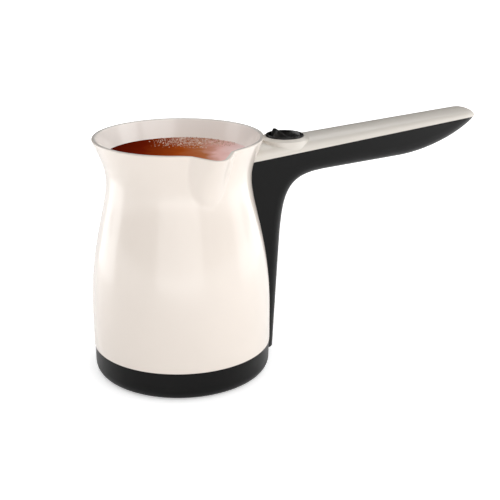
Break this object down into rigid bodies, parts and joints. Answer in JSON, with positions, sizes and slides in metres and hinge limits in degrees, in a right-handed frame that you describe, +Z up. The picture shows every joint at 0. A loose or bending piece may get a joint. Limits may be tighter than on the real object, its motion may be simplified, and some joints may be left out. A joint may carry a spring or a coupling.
{
  "type": "electric coffee pot",
  "caption": "Waisted electric pot with a pouring beak and a long side grip, a rocker switch on the grip and a heated bottom, for boiling ground coffee.",
  "frame": {"origin": "on the pot's axis, at the surface that it stands on", "axes": "+Z up along the pot's axis, +X out along the handle, -Y out through the pouring beak"},
  "size_m": [0.2287, 0.0989, 0.1254],
  "materials": {
    "pot_plastic": "moulded polypropylene, glossy, pearl cream",
    "black_plastic": "moulded plastic, satin, black",
    "switch_plastic": "moulded plastic, glossy, black",
    "plate_steel": "stainless steel, spun",
    "zinc_steel": "zinc-plated steel sheet",
    "spreader_aluminium": "cast aluminium, bare",
    "element_steel": "heater sheath, heat-toned",
    "bead_silicone": "sealing bead, matt",
    "terminal_brass": "tinned brass",
    "bimetal": "bimetal sheet",
    "phenolic": "moulded phenolic, brown",
    "fuse_case": "drawn case, tinned",
    "seal_silicone": "silicone, translucent grey",
    "foot_rubber": "rubber, matt black",
    "screw_steel": "zinc-plated",
    "block_plastic": "polyamide, natural white",
    "spring_steel": "drawn wire",
    "contact_copper": "copper alloy strip",
    "contact_silver": "silver contact face",
    "bush_rubber": "soft plastic, black",
    "lead_brown": "silicone sleeve, brown",
    "lead_white": "silicone sleeve, white",
    "lead_blue": "silicone sleeve, blue",
    "lead_green": "silicone sleeve, green and yellow"
  },
  "bodies": {
    "body": {"pot_body": "pot_plastic", "handle_cover": "pot_plastic", "handle_shell": "black_plastic", "base_cup": "black_plastic", "switch_housing": "switch_plastic", "heating_plate": "plate_steel", "clamp_ring": "zinc_steel", "heat_spreader": "spreader_aluminium", "heating_element": "element_steel", "element_seals": "bead_silicone", "element_pins": "terminal_brass", "thermostat_cap": "spreader_aluminium", "thermostat_disc": "bimetal", "thermostat_body": "phenolic", "thermostat_tabs": "terminal_brass", "thermostat_bracket": "zinc_steel", "thermal_fuse": "fuse_case", "fuse_clip": "zinc_steel", "plate_seal": "seal_silicone", "foot_ring": "foot_rubber", "clamp_screws": "screw_steel", "bracket_screws": "screw_steel", "base_screws": "screw_steel", "root_screws": "screw_steel", "cover_screws": "screw_steel", "terminal_screws": "screw_steel", "terminal_block": "block_plastic", "earth_tab": "zinc_steel", "output_contact": "contact_silver", "common_terminal": "contact_copper", "output_terminal": "contact_copper", "cord_bush": "bush_rubber", "lead_receptacles": "terminal_brass", "live_lead": "lead_brown", "switched_lead": "lead_brown", "element_lead": "lead_white", "fuse_lead": "lead_white", "neutral_lead": "lead_blue", "earth_lead": "lead_green"},
    "rocker": {"switch_rocker": "switch_plastic", "switch_plunger": "block_plastic", "plunger_spring": "spring_steel"},
    "blade": {"contact_blade": "contact_copper", "blade_contact": "contact_silver"}
  },
  "joints": [
    {"name": "rocker_tilt", "type": "hinge", "parent": "body", "child": "rocker", "pos_m": [0.0613, 0, 0.11602], "axis": [0, -1, 0], "range_deg": [0, 24]},
    {"name": "blade_rock", "type": "hinge", "parent": "body", "child": "blade", "pos_m": [0.0613, 0, 0.10882], "axis": [0, -1, 0], "range_deg": [-12, 0]}
  ],
  "couplings": [
    {"joint": "blade_rock", "follows": "rocker_tilt", "ratio": -0.5}
  ]
}
